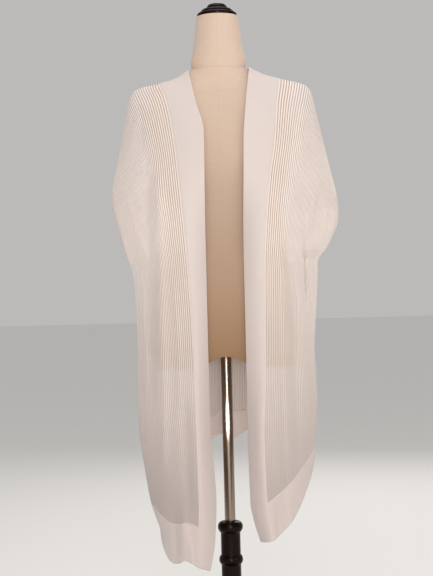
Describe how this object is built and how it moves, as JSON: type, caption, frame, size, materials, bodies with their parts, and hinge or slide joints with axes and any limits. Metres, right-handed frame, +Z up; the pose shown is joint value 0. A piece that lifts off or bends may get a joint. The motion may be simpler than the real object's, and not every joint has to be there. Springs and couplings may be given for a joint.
{
  "type": "cardigan on a dress form",
  "caption": "Long open-front cardigan in openwork rib knit with plain bands and short wide sleeves, worn by a limbless dress form on a turned stand.",
  "frame": {"origin": "on the floor under the pole's axis, at the centre of the foot's underside", "axes": "+Z up along the pole; the garment faces -Y; its wearer's left is +X"},
  "size_m": [0.4971, 0.35, 1.4765],
  "materials": {
    "openwork_knit": "matt, openwork rib",
    "plain_knit": "matt, plain jersey",
    "linen": "matt",
    "dark_wood": "glossy",
    "steel": "polished"
  },
  "bodies": {
    "root": {"front_right": "openwork_knit", "front_left": "openwork_knit", "back": "openwork_knit", "band_front_right": "plain_knit", "band_front_left": "plain_knit", "band_back_neck": "plain_knit", "hem_front_right": "plain_knit", "hem_front_left": "plain_knit", "hem_back": "plain_knit", "cuff_front_right": "plain_knit", "cuff_front_left": "plain_knit", "cuff_back_right": "plain_knit", "cuff_back_left": "plain_knit", "form_torso": "linen", "neck_cap": "dark_wood", "pole": "steel", "stand_column": "dark_wood", "stand_foot": "dark_wood"}
  },
  "joints": []
}
